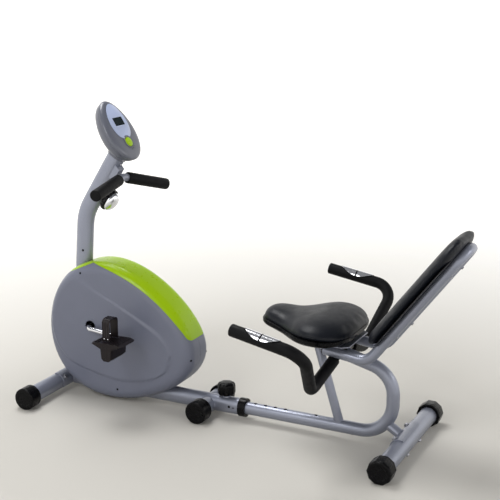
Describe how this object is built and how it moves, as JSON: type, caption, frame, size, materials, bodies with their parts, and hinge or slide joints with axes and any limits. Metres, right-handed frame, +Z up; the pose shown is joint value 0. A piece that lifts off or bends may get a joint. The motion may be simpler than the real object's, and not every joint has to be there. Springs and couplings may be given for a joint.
{
  "type": "exercise bike",
  "caption": "Recumbent exercise bike with an egg-shaped drive cover, a padded saddle and backrest on a sliding frame, and side grips.",
  "frame": {"origin": "on the floor, in the middle of the footprint", "axes": "+X the way the rider faces, +Y the rider's left, +Z up"},
  "size_m": [1.4442, 0.7632, 0.9839],
  "materials": {
    "grey_paint": "metallic grey powder coat, satin",
    "chrome_plate": "bright plated",
    "steel": "zinc plated, dull",
    "cast_iron": "turned and oiled",
    "grey_plastic": "fine moulded texture, satin",
    "lime_plastic": "moulded in colour, glossy",
    "black_plastic": "fine moulded texture",
    "pale_plastic": "printed film, satin",
    "screen": "dark display window",
    "board": "green solder mask",
    "foam": "closed-cell foam",
    "vinyl": "upholstery vinyl",
    "belt_rubber": "ribbed belt"
  },
  "bodies": {
    "frame": {"main_frame": "grey_paint", "front_cradle": "grey_paint", "front_stabiliser": "grey_paint", "front_cap_left": "black_plastic", "front_cap_right": "black_plastic", "middle_cap_left": "black_plastic", "middle_cap_right": "black_plastic", "post_stub": "grey_paint", "bottom_bracket": "grey_paint", "bearing_cup_left": "steel", "bearing_cup_right": "steel", "front_post": "grey_paint", "left_shroud": "grey_plastic", "right_shroud": "grey_plastic", "top_cover": "lime_plastic", "sleeve_collar": "black_plastic", "flywheel_bracket": "steel", "flywheel_axle": "steel", "drive_belt": "belt_rubber", "idler_arm": "steel", "tension_housing": "black_plastic", "tension_cable": "black_plastic", "front_handlebar": "grey_paint", "handlebar_clamp": "grey_paint", "front_grip_left": "foam", "front_grip_right": "foam", "console_back": "grey_plastic", "console_front": "grey_plastic", "console_panel": "pale_plastic", "lcd_screen": "screen", "circuit_board": "board"},
    "crankset": {"crank": "chrome_plate", "drive_pulley": "black_plastic", "left_pedal_spindle": "steel", "right_pedal_spindle": "steel"},
    "left_pedal_body": {"left_pedal": "black_plastic", "left_pedal_strap": "black_plastic"},
    "right_pedal_body": {"right_pedal": "black_plastic", "right_pedal_strap": "black_plastic"},
    "flywheel_body": {"flywheel": "cast_iron"},
    "idler_body": {"idler_pulley": "black_plastic"},
    "brake": {"magnet_arm": "steel"},
    "tension_dial": {"tension_knob": "black_plastic"},
    "button": {"console_button": "lime_plastic"},
    "seat_pin": {"seat_pin_knob": "black_plastic"},
    "seat_carriage": {"seat_frame_tube": "grey_paint", "seat_strut": "grey_paint", "rear_cradle": "grey_paint", "rear_stabiliser": "grey_paint", "backrest_tube": "grey_paint", "backrest_pad": "vinyl", "saddle": "vinyl", "saddle_plate": "grey_paint", "seat_handlebar": "black_plastic", "seat_grip_left": "foam", "seat_grip_right": "foam", "pulse_sensor_left": "chrome_plate", "pulse_sensor_right": "chrome_plate"},
    "rear_left_cap": {"rear_cap_left": "black_plastic"},
    "rear_right_cap": {"rear_cap_right": "black_plastic"}
  },
  "joints": [
    {"name": "seat_slide", "type": "slide", "parent": "frame", "child": "seat_carriage", "axis": [1, 0, 0], "range_m": [-0.069, 0.207]},
    {"name": "crank_spin", "type": "hinge", "parent": "frame", "child": "crankset", "pos_m": [0.5211, 0, 0.255], "axis": [0, 1, 0], "continuous": true},
    {"name": "left_pedal_spin", "type": "hinge", "parent": "crankset", "child": "left_pedal_body", "pos_m": [0.37025, 0.166, 0.24101], "axis": [0, 1, 0], "continuous": true},
    {"name": "right_pedal_spin", "type": "hinge", "parent": "crankset", "child": "right_pedal_body", "pos_m": [0.67195, -0.166, 0.26899], "axis": [0, 1, 0], "continuous": true},
    {"name": "flywheel_spin", "type": "hinge", "parent": "frame", "child": "flywheel_body", "pos_m": [0.2981, 0, 0.207], "axis": [0, 1, 0], "continuous": true},
    {"name": "idler_spin", "type": "hinge", "parent": "frame", "child": "idler_body", "pos_m": [0.36665, -0.045, 0.15505], "axis": [0, 1, 0], "continuous": true},
    {"name": "tension_knob_turn", "type": "hinge", "parent": "frame", "child": "tension_dial", "pos_m": [0.52017, 0, 0.69511], "axis": [-0.8426, 0, -0.5386], "range_deg": [0, 300]},
    {"name": "magnet_arm_swing", "type": "hinge", "parent": "frame", "child": "brake", "pos_m": [0.33675, 0, 0.31318], "axis": [0, -1, 0], "range_deg": [0, 4.8]},
    {"name": "console_button_press", "type": "slide", "parent": "frame", "child": "button", "axis": [0.848, 0, -0.5299], "range_m": [0, 0.0015], "stiffness_N_per_m": 400},
    {"name": "seat_pin_lift", "type": "slide", "parent": "frame", "child": "seat_pin", "axis": [0, 0, 1], "range_m": [-0.008, 0]},
    {"name": "rear_cap_left_turn", "type": "hinge", "parent": "seat_carriage", "child": "rear_left_cap", "pos_m": [-0.5469, 0.204, 0.036], "axis": [0, 1, 0], "range_deg": [-90, 90]},
    {"name": "rear_cap_right_turn", "type": "hinge", "parent": "seat_carriage", "child": "rear_right_cap", "pos_m": [-0.5469, -0.204, 0.036], "axis": [0, 1, 0], "range_deg": [-90, 90]}
  ],
  "couplings": [
    {"joint": "flywheel_spin", "follows": "crank_spin", "ratio": 4.5455},
    {"joint": "idler_spin", "follows": "crank_spin", "ratio": -6.25},
    {"joint": "magnet_arm_swing", "follows": "tension_knob_turn", "ratio": 0.016}
  ]
}
